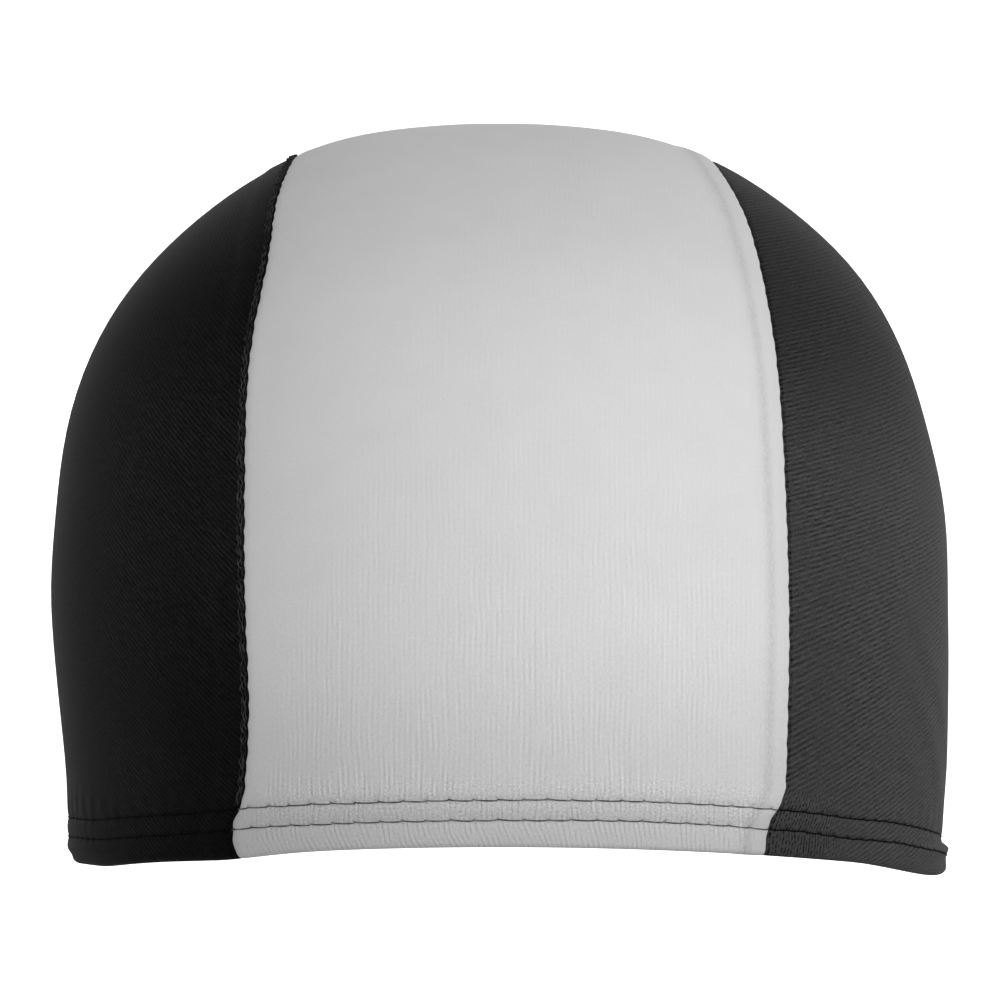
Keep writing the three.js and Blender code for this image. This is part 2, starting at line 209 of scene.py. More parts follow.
def outsideness(point):
    centred = (point - np.array([0, 0, WIDEST_HEIGHT])) / half_sizes(point[..., 1])
    reach = np.linalg.norm(centred, axis=-1)
    return reach - reach_share(centred / reach[..., None])


def normal_at(point):
    step = 0.05
    slope = np.stack(
        [outsideness(point + offset) - outsideness(point - offset) for offset in np.eye(3) * step], -1
    )
    return slope / np.linalg.norm(slope, axis=-1, keepdims=True)


def edge_height(point):
    sideways = point[..., 0] ** 2 / (point[..., 0] ** 2 + point[..., 1] ** 2)
    rise = np.where(point[..., 1] < 0, BROW_RISE, NAPE_RISE) * (1 - sideways)
    drift = np.where(
        point[..., 0] > 0,
        -RIGHT_DIP * smooth(0.5, 0.93, sideways),
        LEFT_RISE * smooth(0.7, 0.95, sideways),
    )
    sag = np.where(point[..., 1] < 0, 0.6 * bell(point[..., 0] + 46, 10), 0)
    return rise + drift - sag


def climb(path, low, high, height):
    """Where a path up the wall lies at a height above the hem's folded edge."""
    low, high = low + 0 * height, high + 0 * height
    for _ in range(21):
        middle = (low + high) / 2
        point = path(middle)
        under = point[..., 2] - edge_height(point) < height
        low = np.where(under, middle, low)
        high = np.where(under, high, middle)
    return (low + high) / 2


def turned(turn, lean):
    return np.stack([np.sin(lean), -np.cos(lean) * np.cos(turn), np.cos(lean) * np.sin(turn)], -1)


def strip_point(x, turn):
    x, turn = np.broadcast_arrays(x, turn)
    lean = np.zeros_like(x)
    for _ in range(6):
        reach = CAP_WIDTH / 2 * reach_share(turned(turn, lean))
        lean = np.arcsin(np.clip(x / reach, -1, 1))
    return dome(turned(turn, lean))


def hem_turn(x, height, back):
    x, height = np.broadcast_arrays(x, height)
    low, high = (250, 150) if back else (-70, 30)
    return climb(lambda turn: strip_point(x, turn), radians(low), radians(high), height.astype(float))


RUN_X = np.linspace(-70, 70, 141)
RUN_FROM = hem_turn(RUN_X, np.array(HEM_ZONE), False)
RUN_TO = hem_turn(RUN_X, np.array(HEM_ZONE), True)


def cap_point(x, place, value):
    """The smooth surface at an x. Value is a height in the hem, or the share of the run above it."""
    if place == BODY:
        start = np.interp(x, RUN_X, RUN_FROM)
        end = np.interp(x, RUN_X, RUN_TO)
        return strip_point(x, start + (end - start) * value)
    return strip_point(x, hem_turn(x, value, place == BACK_HEM))


MIDDLE_LINE = cap_point(np.array(0.0), BODY, np.linspace(0, 1, 400))
RUN_LENGTH = np.linalg.norm(np.diff(MIDDLE_LINE, axis=0), axis=1).sum()


def distance_along(place, value):
    """Distance from the front hem's folded edge, up the front, over the crown and down the back."""
    if place == FRONT_HEM:
        return value
    if place == BODY:
        return HEM_ZONE + RUN_LENGTH * value
    return 2 * HEM_ZONE + RUN_LENGTH - value


def seam_waver(side, along):
    """The small scallops that the seam's stitches draw into the cloth's edges."""
    scallop = np.abs(np.sin(along * pi / SEAM_STITCH + 0.5 * np.sin(along / 9.0))) - 0.64
    if side == LEFT:
        return 0.19 * scallop + 0.05 * np.sin(along * 2 * pi / 9.1 + 1)
    return 0.125 * scallop + 0.04 * np.sin(along * 2 * pi / 7.7)


def seam_x(side, place, value):
    share = SEAM_OVER_RUN[side](value) if place == BODY else SEAM_IN_HEM[side](value / HEM_ZONE)
    return side * share * STRIP_WIDTH / 2 + seam_waver(side, distance_along(place, value))


def beside_x(side, place, value, distance, out):
    x = seam_x(side, place, value)
    nudge = 0.1
    stride = np.linalg.norm(cap_point(x + nudge, place, value) - cap_point(x, place, value), axis=-1)
    return x + side * out * distance * nudge / stride


def beside_seam(side, place, value, distance, out):
    return cap_point(beside_x(side, place, value, distance, out), place, value)


def wall_point(bearing, height):
    """The wall at a bearing from the front, positive to the right, and a height above the hem's fold."""
    bearing, height = np.broadcast_arrays(bearing, height)
    across = np.sin(bearing) * 2 / CAP_WIDTH
    deep = -np.cos(bearing) / np.where(np.cos(bearing) > 0, FRONT_DEPTH, BACK_DEPTH)
    flat = np.hypot(across, deep)

    def path(elevation):
        level = np.cos(elevation)
        return dome(np.stack([across / flat * level, deep / flat * level, np.sin(elevation)], -1))

    return path(climb(path, radians(-70), radians(30), height.astype(float)))


# Distance round the hem against the bearing from the back, through the left, the front and the right
ROUND_BEARINGS = np.linspace(-pi, pi, 721)
ROUND_LINE = wall_point(ROUND_BEARINGS, np.array(6.0))
ROUND_LENGTHS = np.concatenate([[0], np.cumsum(np.linalg.norm(np.diff(ROUND_LINE, axis=0), axis=1))])
STITCHES_ROUND = round(ROUND_LENGTHS[-1] / STITCH)
PITCH = ROUND_LENGTHS[-1] / STITCHES_ROUND


def distance_round(point):
    return np.interp(np.arctan2(point[..., 0], -point[..., 1]), ROUND_BEARINGS, ROUND_LENGTHS)


def hem_lift(height, around):
    """Relief that the two rows of stitches draw into the outside of the hem."""
    height = height - row_wander(around)
    hole = 0.5 + 0.5 * np.cos(around * 2 * pi / PITCH)
    lift = -0.07 * hole**2 * (bell(height - LOWER_ROW, 0.9) + bell(height - UPPER_ROW, 0.9))
    lift = lift - 0.17 * bell(height - LOWER_ROW, 0.6) - 0.15 * bell(height - UPPER_ROW, 0.6)
    lift = lift + 0.09 * bell(height - (LOWER_ROW + UPPER_ROW) / 2, 0.9)
    lift = lift + 0.1 * bell(height - LOWER_ROW * 0.5, 1.2)
    pull = 0.06 * np.sin(around * 2 * pi / 5.3 + 1.7 * np.sin(around / 11.0))
    return lift + pull * bell(height - UPPER_ROW - 2.5, 3.0)


def edge_flare(point, height):
    sideways = point[..., 0] ** 2 / (point[..., 0] ** 2 + point[..., 1] ** 2)
    share = height / HEM_ZONE
    right = (RIGHT_FLARE + 0.4 * bell(share - 0.36, 0.12)) * (1 - smooth(0.38, 0.47, share))
    left = -LEFT_TUCK * (1 - smooth(0.08, 0.25, share))
    return np.where(point[..., 0] > 0, right, left) * smooth(0.55, 0.9, sideways)


def row_wander(around):
    """How far the two rows of stitches stray up or down round the hem."""
    bearing = np.degrees(np.interp(around % ROUND_LENGTHS[-1], ROUND_LENGTHS, ROUND_BEARINGS))
    front = 0.25 * bell(bearing - 17, 12) + 0.5 * bell(bearing + 30, 8) - 0.5 * bell(bearing - 46, 7)
    return front - 3.0 * bell(bearing - 102, 22)


def seam_lift(distance, over_allowance):
    lift = -GROOVE_DEPTH * (1 - smooth(0, GROOVE_WIDTH, distance))
    if over_allowance:
        lift = lift + RIDGE_HEIGHT * (1 - smooth(ALLOWANCE_WIDTH, ALLOWANCE_WIDTH + 1.8, distance))
    return lift


def edge_roll(distance):
    """How far the outer face of the cloth curls down beside its edge."""
    radius = 0.25
    inward = np.clip(radius - distance, 0, radius)
    return radius - np.sqrt(radius**2 - inward**2)


# Distances from a seam at which the cloth beside it has a row of points
NEAR_STEPS = np.array([0, 0.08, 0.2, 0.38, 0.65, 1.0, 1.5, 2.2, 3.0, 3.8, 4.6, 5.4, 6.2, 7.2])


def hem_sections():
    """Rows through the hem from the raw edge inside, round the fold and up the wall outside.

    Each is the height and depth of the outer face, then those of the inner face.
    """
    outer_radius = CLOTH + FOLD_GAP / 2
    inner_radius = FOLD_GAP / 2
    rows = [
        (height, 2 * outer_radius, height, outer_radius + inner_radius)
        for height in np.linspace(HEM_DEPTH, outer_radius + 0.4, 5)
    ]
    for angle in np.linspace(pi, 0, 10):
        s, c = np.sin(angle), np.cos(angle)
        rows.append((
            outer_radius * (1 - s),
            outer_radius * (1 - c),
            outer_radius - inner_radius * s,
            outer_radius - inner_radius * c,
        ))
    rows += [(height, 0, height, CLOTH) for height in np.linspace(outer_radius + 0.4, HEM_ZONE, 22)]
    return np.array(rows)


def cloth_mesh(name, outer, inner, cells, values):
    """A closed sheet from its two faces.

    Values of the points that are pairs become UV layers in centimetres, and the others attributes.
    """
    count = len(outer)
    a, b, c, d = cells.T
    edges = np.concatenate([cells[:, [0, 1]], cells[:, [1, 2]], cells[:, [2, 3]], cells[:, [3, 0]]])
    keys = edges[:, 0].astype(np.int64) * count + edges[:, 1]
    mates = edges[:, 1].astype(np.int64) * count + edges[:, 0]
    rim = edges[~np.isin(keys, mates)]
    walls = np.stack([rim[:, 1], rim[:, 0], rim[:, 0] + count, rim[:, 1] + count], 1)
    faces = np.concatenate([np.stack([a, b, c, d], 1), np.stack([d, c, b, a], 1) + count, walls])
    mesh = bpy.data.meshes.new(name)
    mesh.from_pydata((np.concatenate([outer, inner]) / 1000).tolist(), [], faces.tolist())
    mesh.polygons.foreach_set("use_smooth", np.ones(len(faces), bool))
    mesh.set_sharp_from_angle(angle=radians(48))
    corners = np.empty(len(mesh.loops), np.int32)
    mesh.loops.foreach_get("vertex_index", corners)
    for key, value in values.items():
        if value.ndim == 1:
            attribute = mesh.attributes.new(key, "FLOAT", "POINT")
            attribute.data.foreach_set("value", np.tile(value, 2).astype(np.float32))
    for key, value in values.items():
        if value.ndim == 2:
            layer = mesh.uv_layers.new(name=key)
            flat = np.tile(value, (2, 1))[corners] / 10
            layer.data.foreach_set("uv", flat.astype(np.float32).ravel())
    mesh.update()
    piece = bpy.data.objects.new(name, mesh)
    bpy.context.scene.collection.objects.link(piece)
    return piece


def grid_cells(number):
    return np.stack(
        [number[:-1, :-1], number[:-1, 1:], number[1:, 1:], number[1:, :-1]], -1
    ).reshape(-1, 4)


def centre_panel():
    sections = hem_sections()
    body = np.linspace(0, 1, 562)[1:-1]
    middle = np.linspace(0, 1, 46)[1:-1]
    near = len(NEAR_STEPS)
    far = np.full(len(middle) + near, FAR_FROM_SEAM)
    from_left = np.concatenate([NEAR_STEPS, far])
    from_right = from_left[::-1]
    whole = 2 * HEM_ZONE + RUN_LENGTH

    def places(place, value):
        left = [beside_x(LEFT, place, value, SEAM_GAP / 2 + step, -1) for step in NEAR_STEPS]
        right = [beside_x(RIGHT, place, value, SEAM_GAP / 2 + step, -1) for step in NEAR_STEPS[::-1]]
        between = [left[-1] + (right[0] - left[-1]) * share for share in middle]
        return np.stack(left + between + right, -1)

    def face(place, value, depth, inside):
        x = places(place, value)
        point = cap_point(x, place, value[:, None])
        around = distance_round(point)
        around = np.where((point[..., 0] < 0) & (point[..., 1] > 0), around + ROUND_LENGTHS[-1], around)
        along = np.broadcast_to(distance_along(place, value)[:, None], x.shape)
        height = np.minimum(np.minimum(along, whole - along), 60)
        lift = np.broadcast_to(seam_lift(from_left, False) + seam_lift(from_right, True), x.shape)
        if place != BODY:
            outside = (depth < CLOTH * 1.05)[:, None]
            clear = smooth(0, 2.5, np.minimum(from_left, from_right))
            lift = lift + hem_lift(height, around) * outside * clear
        if not inside:
            lift = lift - edge_roll(from_left) - edge_roll(from_right)
        kept = {
            "cloth": np.stack([80 * np.arcsin(x / 92), along], -1),
            "round": np.stack([around, height - row_wander(around)], -1),
            "left_seam": np.broadcast_to(from_left, x.shape),
            "right_seam": np.broadcast_to(from_right, x.shape),
        }
        return point + normal_at(point) * (lift - depth[:, None])[..., None], kept

    outer, inner, kept = [], [], []
    for place in (FRONT_HEM, BODY, BACK_HEM):
        if place == BODY:
            rows = (body, 0 * body, body, CLOTH + 0 * body)
        else:
            rows = (sections if place == FRONT_HEM else sections[::-1]).T
        points, values = face(place, rows[0], rows[1], False)
        outer.append(points)
        kept.append(values)
        inner.append(face(place, rows[2], rows[3], True)[0])
    outer, inner = np.concatenate(outer), np.concatenate(inner)
    number = np.arange(outer.shape[0] * outer.shape[1]).reshape(outer.shape[:2])
    values = {key: np.concatenate([block[key] for block in kept]) for key in kept[0]}
    values = {key: value.reshape(number.size, *value.shape[2:]) for key, value in values.items()}
    return cloth_mesh(
        "centre_panel_cloth", outer.reshape(-1, 3), inner.reshape(-1, 3), grid_cells(number), values
    )


def to_map(point):
    unit = unit_of(point)
    angle = np.arccos(np.clip(np.abs(unit[..., 0]), 0, 1))
    round_ = np.arctan2(unit[..., 2], unit[..., 1])
    return np.stack([angle * np.cos(round_), angle * np.sin(round_)], -1)


def from_map(place, side):
    angle = np.hypot(place[..., 0], place[..., 1])
    round_ = np.arctan2(place[..., 1], place[..., 0])
    return dome(np.stack([
        side * np.cos(angle), np.sin(angle) * np.cos(round_), np.sin(angle) * np.sin(round_)
    ], -1))


def side_cloth(side, point):
    """Distance round from the front seam, and height up the wall less the rise of the knit's lines."""
    bearing = np.arctan2(np.abs(point[..., 0]), -point[..., 1])
    half = np.interp(0, ROUND_BEARINGS, ROUND_LENGTHS)
    round_ = np.abs(np.interp(side * bearing, ROUND_BEARINGS, ROUND_LENGTHS) - half)
    depth = np.where(point[..., 1] < 0, FRONT_DEPTH, BACK_DEPTH)
    level = np.hypot(point[..., 0] / (CAP_WIDTH / 2), point[..., 1] / depth)
    back = (round_ - FRONT_TO_SEAM) * level
    dome_height = CAP_HEIGHT - WIDEST_HEIGHT
    share = np.clip((point[..., 2] - WIDEST_HEIGHT) / dome_height, 0, 1)
    up = np.minimum(point[..., 2], WIDEST_HEIGHT) + DOME_RADIUS * np.arcsin(share)
    slope = 0.78 if side == LEFT else 0.4 - 0.2 * smooth(5, 60, up)
    pivot = 0 if side == LEFT else 42
    eased = back - back**2 / (800 if side == LEFT else 348)
    return back, up, up - slope * (eased - pivot)


def side_folds(side, back, up):
    """Broad soft folds where the cloth runs down into the hem, and the left side's dip at the crown."""
    if side == LEFT:
        return -0.35 * smooth(100, 132, up)
    off = (back - 33) * 0.625 + (up - 40) * 0.78
    down = (back - 33) * 0.78 - (up - 40) * 0.625
    window = smooth(-14, 6, down) * (1 - smooth(30, 52, down))
    folds = 0.3 * bell(off + 1, 3.2) + 0.22 * bell(off - 8.5, 3.0) + 0.2 * bell(off + 11, 3.6)
    return folds * window


def side_panel(side, name):
    over = side == LEFT
    near = len(NEAR_STEPS)
    flank = 36
    run = 500
    flank_share = 0.22
    sections = hem_sections()
    flank_shares = np.linspace(0, flank_share, flank + 1)[1:]
    middle_shares = np.linspace(flank_share, 1 - flank_share, run + 1)[1:-1]
    shares = np.concatenate([flank_shares, middle_shares, 1 - flank_shares[::-1]])
    depth_of_fan = near - 1 + flank
    columns = 2 * near + len(shares)
    far = np.full(len(shares), FAR_FROM_SEAM)
    seam_distance = np.concatenate([NEAR_STEPS, far, NEAR_STEPS[::-1]])

    def hem_points(height):
        front = np.stack(
            [beside_seam(side, FRONT_HEM, height, SEAM_GAP / 2 + step, 1) for step in NEAR_STEPS], 1
        )
        back = np.stack(
            [beside_seam(side, BACK_HEM, height, SEAM_GAP / 2 + step, 1) for step in NEAR_STEPS[::-1]], 1
        )
        bearing_from = np.arctan2(side * front[:, -1, 0], -front[:, -1, 1])
        bearing_to = np.arctan2(side * back[:, 0, 0], -back[:, 0, 1])
        bearing = bearing_from[:, None] + (bearing_to - bearing_from)[:, None] * shares
        between = wall_point(side * bearing, height[:, None])
        return np.concatenate([front, between, back], 1)

    def hem_face(height, depth, inside):
        point = hem_points(height)
        outside = (depth < CLOTH * 1.05)[:, None]
        lift = seam_lift(seam_distance, over) + edge_flare(point, height[:, None])
        relief = hem_lift(height[:, None], distance_round(point)) * outside
        lift = lift + relief * smooth(0, 2.5, seam_distance)
        lift = lift + side_folds(side, *side_cloth(side, point)[:2]) * smooth(7.5, 11, height)[:, None]
        if not inside:
            lift = lift - edge_roll(seam_distance)
        return point, point + normal_at(point) * (lift - depth[:, None])[..., None]

    smooth_hem, outer_hem = hem_face(sections[:, 0], sections[:, 1], False)
    inner_hem = hem_face(sections[:, 2], sections[:, 3], True)[1]
    top_map = to_map(smooth_hem[-1])

    along = np.arange(1, run)
    share = along / run
    fan = np.empty((run - 1, depth_of_fan, 3))
    for inward in range(near):
        fan[:, inward] = beside_seam(side, BODY, share, SEAM_GAP / 2 + NEAR_STEPS[inward], 1)
    seam_line = to_map(fan[:, near - 1])
    u = share[:, None]
    for inward in range(near, depth_of_fan):
        v = (inward - near + 1) / flank
        place = (1 - v) * seam_line + v * top_map[depth_of_fan + along]
        place = place + (1 - u) * top_map[inward] + u * top_map[columns - 1 - inward]
        place = place - (1 - u) * (1 - v) * top_map[near - 1] - u * (1 - v) * top_map[columns - near]
        place = place - (1 - u) * v * top_map[depth_of_fan] - u * v * top_map[columns - 1 - depth_of_fan]
        fan[:, inward] = from_map(place, side)
    fan_distance = np.full(depth_of_fan, FAR_FROM_SEAM)
    fan_distance[:near] = NEAR_STEPS
    fan_normal = normal_at(fan)
    fan_lift = seam_lift(fan_distance, over) + side_folds(side, *side_cloth(side, fan)[:2])
    outer_fan = fan + fan_normal * (fan_lift - edge_roll(fan_distance))[..., None]
    inner_fan = fan + fan_normal * (fan_lift - CLOTH)[..., None]

    rows = len(sections)
    hem_number = np.arange(rows * columns).reshape(rows, columns)
    top_number = hem_number[-1]
    fan_number = np.empty((run + 1, depth_of_fan + 1), int)
    fan_number[1:-1, :-1] = rows * columns + np.arange((run - 1) * depth_of_fan).reshape(run - 1, -1)
    fan_number[0] = top_number[: depth_of_fan + 1]
    fan_number[-1] = top_number[::-1][: depth_of_fan + 1]
    fan_number[:, -1] = top_number[depth_of_fan : depth_of_fan + run + 1]
    cells = np.concatenate([grid_cells(hem_number), grid_cells(fan_number)])
    if side == LEFT:
        cells = cells[:, ::-1]
    points = np.concatenate([smooth_hem.reshape(-1, 3), fan.reshape(-1, 3)])
    fan_height = np.maximum((fan[..., 2] - edge_height(fan)).ravel(), HEM_ZONE)
    height = np.concatenate([np.repeat(sections[:, 0], columns), fan_height])
    back, _, phase = side_cloth(side, points)
    around = distance_round(points)
    values = {
        "cloth": np.stack([back, phase], -1),
        "round": np.stack([around, height - row_wander(around)], -1),
        "seam": np.concatenate([np.tile(seam_distance, rows), np.tile(fan_distance, run - 1)]),
    }
    return cloth_mesh(
        name,
        np.concatenate([outer_hem.reshape(-1, 3), outer_fan.reshape(-1, 3)]),
        np.concatenate([inner_hem.reshape(-1, 3), inner_fan.reshape(-1, 3)]),
        cells,
        values,
    )


def seam_allowance(side, name):
    """The bound raw edges inside a seam, as a soft ribbed band."""
    out = 1 if side == LEFT else -1
    clear = HEM_DEPTH + 0.9
    steps = np.linspace(0, ALLOWANCE_WIDTH, 11)
    body = np.linspace(0, 1, 320)[1:-1]
    rows = [
        (FRONT_HEM, np.array([clear, HEM_ZONE])),
        (BODY, body),
        (BACK_HEM, np.array([HEM_ZONE, clear])),
    ]
    upper, lower, flat = [], [], []
    for place, value in rows:
        point = np.stack(
            [beside_seam(side, place, value, SEAM_GAP / 2 + step, out) for step in steps], 1
        )
        along = distance_along(place, value)[:, None]
        ripple = 0.07 * np.sin(along * 2 * pi / 2.5 + steps * 0.9)
        thin = 0.35 * smooth(ALLOWANCE_WIDTH - 1.2, ALLOWANCE_WIDTH, steps)
        normal = normal_at(point)
        top = seam_lift(steps, True) - CLOTH - ALLOWANCE_CLEARANCE
        bottom = top - ALLOWANCE_THICKNESS
        upper.append(point + normal * (top - thin)[..., None])
        lower.append(point + normal * (bottom + thin + ripple)[..., None])
        flat.append(np.stack(np.broadcast_arrays(steps, along), -1))
    outer, inner, cloth = (np.concatenate(blocks) for blocks in (upper, lower, flat))
    number = np.arange(outer.shape[0] * outer.shape[1]).reshape(outer.shape[:2])
    cells = grid_cells(number)
    if side * out < 0:
        cells = cells[:, ::-1]
    return cloth_mesh(
        name, outer.reshape(-1, 3), inner.reshape(-1, 3), cells, {"cloth": cloth.reshape(-1, 2)}
    )


def thread_mesh(name, groups, sides=6):
    """Round strands. Each group holds paths, the surface's normals along them, and radii.

    The hem's rows add how far each point lies on pale cloth.
    """
    vertices, faces, pale = [], [], []
    start = 0
    for paths, normals, radii, *on_pale in groups:
        strands, length = paths.shape[:2]
        tangent = np.gradient(paths, axis=1)
        tangent /= np.linalg.norm(tangent, axis=-1, keepdims=True)
        across = np.cross(tangent, normals)
        across /= np.linalg.norm(across, axis=-1, keepdims=True)
        up = np.cross(across, tangent)
        angle = np.arange(sides) * 2 * pi / sides
        ring = np.cos(angle)[:, None] * up[:, :, None] + np.sin(angle)[:, None] * across[:, :, None]
        points = paths[:, :, None] + ring * np.broadcast_to(radii, paths.shape[:2])[:, :, None, None]
        number = start + np.arange(strands * length * sides).reshape(strands, length, sides)
        after = np.roll(number, -1, axis=2)
        quads = np.stack([number[:, :-1], number[:, 1:], after[:, 1:], after[:, :-1]], -1)
        faces += quads.reshape(-1, 4).tolist()
        faces += number[:, 0].tolist()
        faces += number[:, -1, ::-1].tolist()
        vertices.append(points.reshape(-1, 3))
        share = on_pale[0] if on_pale else np.zeros((strands, length))
        pale.append(np.repeat(share.reshape(-1), sides))
        start += strands * length * sides
    mesh = bpy.data.meshes.new(name)
    mesh.from_pydata((np.concatenate(vertices) / 1000).tolist(), [], faces)
    mesh.polygons.foreach_set("use_smooth", np.ones(len(mesh.polygons), bool))
    attribute = mesh.attributes.new("on_pale", "FLOAT", "POINT")
    attribute.data.foreach_set("value", np.concatenate(pale).astype(np.float32))
    mesh.update()
    piece = bpy.data.objects.new(name, mesh)
    bpy.context.scene.collection.objects.link(piece)
    return piece


def bearing_at(around):
    return np.interp(around % ROUND_LENGTHS[-1], ROUND_LENGTHS, ROUND_BEARINGS)


def hem_thread(row, generator):
    """One row of the hem's stitches, each a strand that comes up from a hole and sags to the next."""
    t = np.linspace(0, 1, 17)
    start = np.arange(STITCHES_ROUND) * PITCH
    slip = generator.uniform(-0.25, 0.25, STITCHES_ROUND)
    drift = 0.1 * np.sin(start / 19) + generator.uniform(-0.08, 0.08, STITCHES_ROUND)
    tilt = 0.05 + 0.12 * np.sin(start / 31) + generator.uniform(-0.06, 0.06, STITCHES_ROUND)
    around = start[:, None] + PITCH * t + slip[:, None] * (1 - t) + np.roll(slip, -1)[:, None] * t
    from_hole = np.minimum(t, 1 - t) * PITCH
    sag = -0.06 * np.sin(pi * t) + 0.06 * bell(t, 0.07) + 0.04 * bell(1 - t, 0.07)
    sag = sag + tilt[:, None] * (0.5 - t)
    height = row + drift[:, None] * (1 - t) + np.roll(drift, -1)[:, None] * t + sag
    height = height + row_wander(around)
    point = wall_point(bearing_at(around), height)
    normal = normal_at(point)
    radius = 0.115 + 0.05 * bell(from_hole, 0.22)
    proud = 0.05 - 0.1 * bell(from_hole, 0.25)
    groove = 0 * height
    nearest = groove + FAR_FROM_SEAM
    outward = groove - FAR_FROM_SEAM
    for side in (LEFT, RIGHT):
        for place, facing in ((FRONT_HEM, -1), (BACK_HEM, 1)):
            off = 1.3 * (point[..., 0] - seam_x(side, place, height))
            near = point[..., 1] * facing > 0
            nearest = np.where(near, np.minimum(nearest, np.abs(off)), nearest)
            outward = np.where(near, np.maximum(outward, side * off), outward)
            groove = groove + np.where(near, seam_lift(np.abs(off), False), 0)
            ridge = seam_lift(-off, True) - seam_lift(-off, False)
            groove = groove + np.where(near & (off < 0), ridge, 0)
    relief = hem_lift(height, distance_round(point)) * smooth(0, 2.5, nearest)
    lift = relief + groove + edge_flare(point, height) + proud
    on_pale = 1 - smooth(-0.2, 0.1, outward)
    return point + normal * lift[..., None], normal, radius, on_pale


def cover_thread(generator):
    """The looping thread inside the hem, which crosses between the two rows over the raw edge."""
    t = np.linspace(0, 1, 49)
    start = np.arange(STITCHES_ROUND) * PITCH
    phase = t * 2 * pi
    around = start[:, None] + PITCH * t + 0.55 * PITCH * np.sin(phase * 2) * 0.5
    swing = 0.5 - 0.5 * np.cos(phase)
    height = LOWER_ROW - 0.2 + (UPPER_ROW - LOWER_ROW + 1.6) * swing
    height = height + generator.uniform(-0.1, 0.1, STITCHES_ROUND)[:, None] * np.sin(pi * t)
    height = height + row_wander(around)
    point = wall_point(bearing_at(around), height)
    normal = normal_at(point)
    depth = 2 * CLOTH + FOLD_GAP + 0.16 + 0.1 * np.sin(phase * 2)
    lift = edge_flare(point, height) - depth
    return point + normal * lift[..., None], -normal, np.full(t.shape, 0.13)


def seam_place(side, along, away, out):
    """A point beside a seam at a distance along it from the front hem's folded edge."""
    value = {
        FRONT_HEM: np.clip(along, 0, HEM_ZONE),
        BACK_HEM: np.clip(2 * HEM_ZONE + RUN_LENGTH - along, 0, HEM_ZONE),
        BODY: np.clip((along - HEM_ZONE) / RUN_LENGTH, 0, 1),
    }
    point = beside_seam(side, BODY, value[BODY], away, out)
    for place, mask in ((FRONT_HEM, along < HEM_ZONE), (BACK_HEM, along > HEM_ZONE + RUN_LENGTH)):
        if mask.any():
            point[mask] = beside_seam(side, place, value[place][mask], away[mask], out)
    return point


def seam_braid(generator):
    """The looped threads that show beside the left seam, over the rolled black cloth."""
    along = np.arange(UPPER_ROW + 1, 2 * HEM_ZONE + RUN_LENGTH - UPPER_ROW - 1, 0.2)
    groups = []
    strands = ((0.24, 0.12, 2.2, 0.4), (0.56, 0.2, 2.7, 2.0), (0.86, 0.14, 2.3, 3.6))
    for base, swing, period, shift in strands:
        wander = np.interp(along, np.arange(0, 480, 2.3), generator.uniform(-0.1, 0.1, 209))
        swell = np.interp(along, np.arange(0, 480, 0.8), generator.uniform(0.55, 1.35, 600))
        phase = along * 2 * pi / period + shift + 0.9 * np.sin(along / 4.3 + shift) + 6 * wander
        away = base + wander + swing * np.sin(phase)
        point = seam_place(LEFT, along, SEAM_GAP / 2 + away, 1)
        normal = normal_at(point)
        proud = 0.02 + 0.08 * np.cos(phase)
        lift = seam_lift(away, True) - edge_roll(away) + proud
        radius = 0.095 * swell
        groups.append(((point + normal * lift[:, None])[None], normal[None], radius[None]))
    return groups


def overlock_threads(side):
    """The looping threads that bind the raw edges inside a seam."""
    out = 1 if side == LEFT else -1
    count = int(RUN_LENGTH / 2.5)
    start = np.arange(count)[:, None] / count
    edge = ALLOWANCE_WIDTH
    below = CLOTH + ALLOWANCE_CLEARANCE + ALLOWANCE_THICKNESS

    def strand(value, away, sink):
        point = beside_seam(side, BODY, np.clip(value, 0, 1), SEAM_GAP / 2 + away, out)
        normal = normal_at(point)
        lift = seam_lift(away, True) - below - sink
        return point + normal * lift[..., None], -normal, np.full(value.shape[1], 0.12)

    groups = []
    t = np.linspace(0, 1, 17)
    for shift in (0.0, 0.5):
        phase = 2 * pi * (t + shift)
        swing = 0.5 - 0.5 * np.cos(phase)
        value = start + (t + 0.18 * np.sin(phase * 2)) / count
        away = np.broadcast_to(1.5 + (edge + 0.12 - 1.5) * swing, value.shape)
        groups.append(strand(value, away, 0.02 - 0.35 * smooth(edge - 1.2, edge, away)))
    t = np.linspace(0, 1, 9)
    for line in (1.5, 3.4):
        value = start + t / count
        away = np.full(value.shape, line)
        groups.append(strand(value, away, 0.06 - 0.2 * np.abs(2 * t - 1) ** 6))
    return groups


